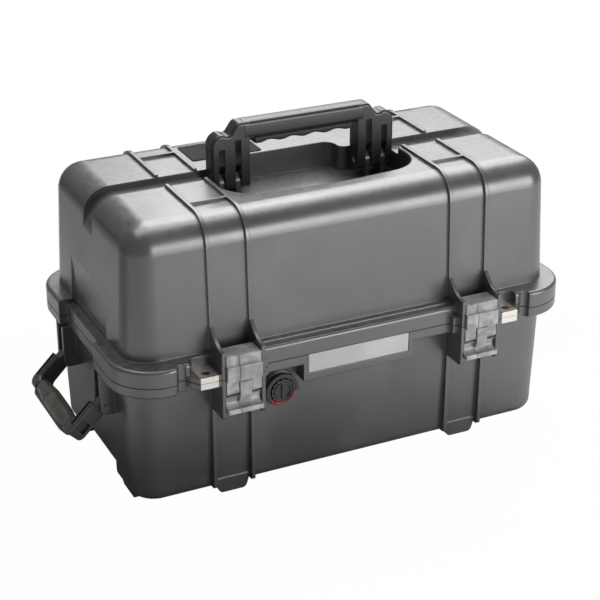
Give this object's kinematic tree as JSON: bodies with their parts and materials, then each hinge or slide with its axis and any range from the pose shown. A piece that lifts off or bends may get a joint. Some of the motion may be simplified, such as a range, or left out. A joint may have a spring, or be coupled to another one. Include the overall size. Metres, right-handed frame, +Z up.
{
  "type": "protective hard case",
  "caption": "Deep watertight-style moulded hard case with a domed lid, draw latches, padlock plates, folding top and end handles and a purge valve.",
  "frame": {"origin": "on the floor, under the middle of the case body", "axes": "+X along the case towards its right-hand end seen from the front, -Y out of the latch side, +Z up"},
  "size_m": [0.5929, 0.325, 0.378],
  "materials": {
    "case_plastic": "fine moulded grain, semi-matt",
    "latch_plastic": "satin moulded plastic",
    "handle_plastic": "satin moulded plastic",
    "grip_rubber": "matt overmoulded rubber",
    "seal_rubber": "soft matt rubber",
    "ring_rubber": "red silicone rubber",
    "valve_plastic": "satin moulded plastic",
    "stainless": "brushed stainless steel",
    "nameplate_plastic": "bare textured plate",
    "label_film": "bare label film"
  },
  "bodies": {
    "base": {"base_shell": "case_plastic", "latch_left_lever_pin": "stainless", "latch_right_lever_pin": "stainless", "hinge_pin_left": "stainless", "hinge_pin_right": "stainless", "padlock_plate_base_left": "stainless", "padlock_plate_base_right": "stainless", "left_handle_pins": "stainless", "right_handle_pins": "stainless", "valve_body": "valve_plastic", "valve_o_ring": "ring_rubber", "valve_nut": "valve_plastic", "front_nameplate": "nameplate_plastic"},
    "lid": {"lid_shell": "case_plastic", "lid_seal": "seal_rubber", "padlock_plate_lid_left": "stainless", "padlock_plate_lid_right": "stainless", "top_handle_pin_left": "stainless", "top_handle_pin_right": "stainless", "lid_label": "label_film"},
    "latch_left_lever": {"latch_left_lever": "latch_plastic", "latch_left_hook_pin": "stainless"},
    "latch_right_lever": {"latch_right_lever": "latch_plastic", "latch_right_hook_pin": "stainless"},
    "latch_left_hook": {"latch_left_hook": "latch_plastic"},
    "latch_right_hook": {"latch_right_hook": "latch_plastic"},
    "top_handle": {"top_handle_frame": "handle_plastic", "top_handle_grip": "grip_rubber"},
    "left_handle": {"left_handle_frame": "handle_plastic", "left_handle_grip": "grip_rubber"},
    "right_handle": {"right_handle_frame": "handle_plastic", "right_handle_grip": "grip_rubber"},
    "valve_knob": {"valve_knob": "valve_plastic"}
  },
  "joints": [
    {"name": "lid_hinge", "type": "hinge", "parent": "base", "child": "lid", "pos_m": [0, 0.1505, 0.158], "axis": [-1, 0, 0], "range_deg": [0, 105]},
    {"name": "top_handle_fold", "type": "hinge", "parent": "lid", "child": "top_handle", "pos_m": [0, 0, 0.309], "axis": [1, 0, 0], "range_deg": [0, 90]},
    {"name": "left_handle_swing", "type": "hinge", "parent": "base", "child": "left_handle", "pos_m": [-0.265, 0, 0.106], "axis": [0, 1, 0], "range_deg": [-45, 45]},
    {"name": "right_handle_swing", "type": "hinge", "parent": "base", "child": "right_handle", "pos_m": [0.265, 0, 0.106], "axis": [0, -1, 0], "range_deg": [0, 90]},
    {"name": "valve_knob_turn", "type": "hinge", "parent": "base", "child": "valve_knob", "pos_m": [-0.0892, -0.141, 0.118], "axis": [0, -1, 0], "range_deg": [0, 180]},
    {"name": "latch_left_lever_throw", "type": "hinge", "parent": "base", "child": "latch_left_lever", "pos_m": [-0.14325, -0.152, 0.1495], "axis": [-1, 0, 0], "range_deg": [0, 80]},
    {"name": "latch_left_hook_tilt", "type": "hinge", "parent": "latch_left_lever", "child": "latch_left_hook", "pos_m": [-0.14325, -0.158, 0.1435], "axis": [1, 0, 0], "range_deg": [0, 110]},
    {"name": "latch_right_lever_throw", "type": "hinge", "parent": "base", "child": "latch_right_lever", "pos_m": [0.14325, -0.152, 0.1495], "axis": [-1, 0, 0], "range_deg": [0, 80]},
    {"name": "latch_right_hook_tilt", "type": "hinge", "parent": "latch_right_lever", "child": "latch_right_hook", "pos_m": [0.14325, -0.158, 0.1435], "axis": [1, 0, 0], "range_deg": [0, 110]}
  ],
  "couplings": [
    {"joint": "latch_left_hook_tilt", "follows": "latch_left_lever_throw", "ratio": 1.25},
    {"joint": "latch_right_hook_tilt", "follows": "latch_right_lever_throw", "ratio": 1.25}
  ]
}
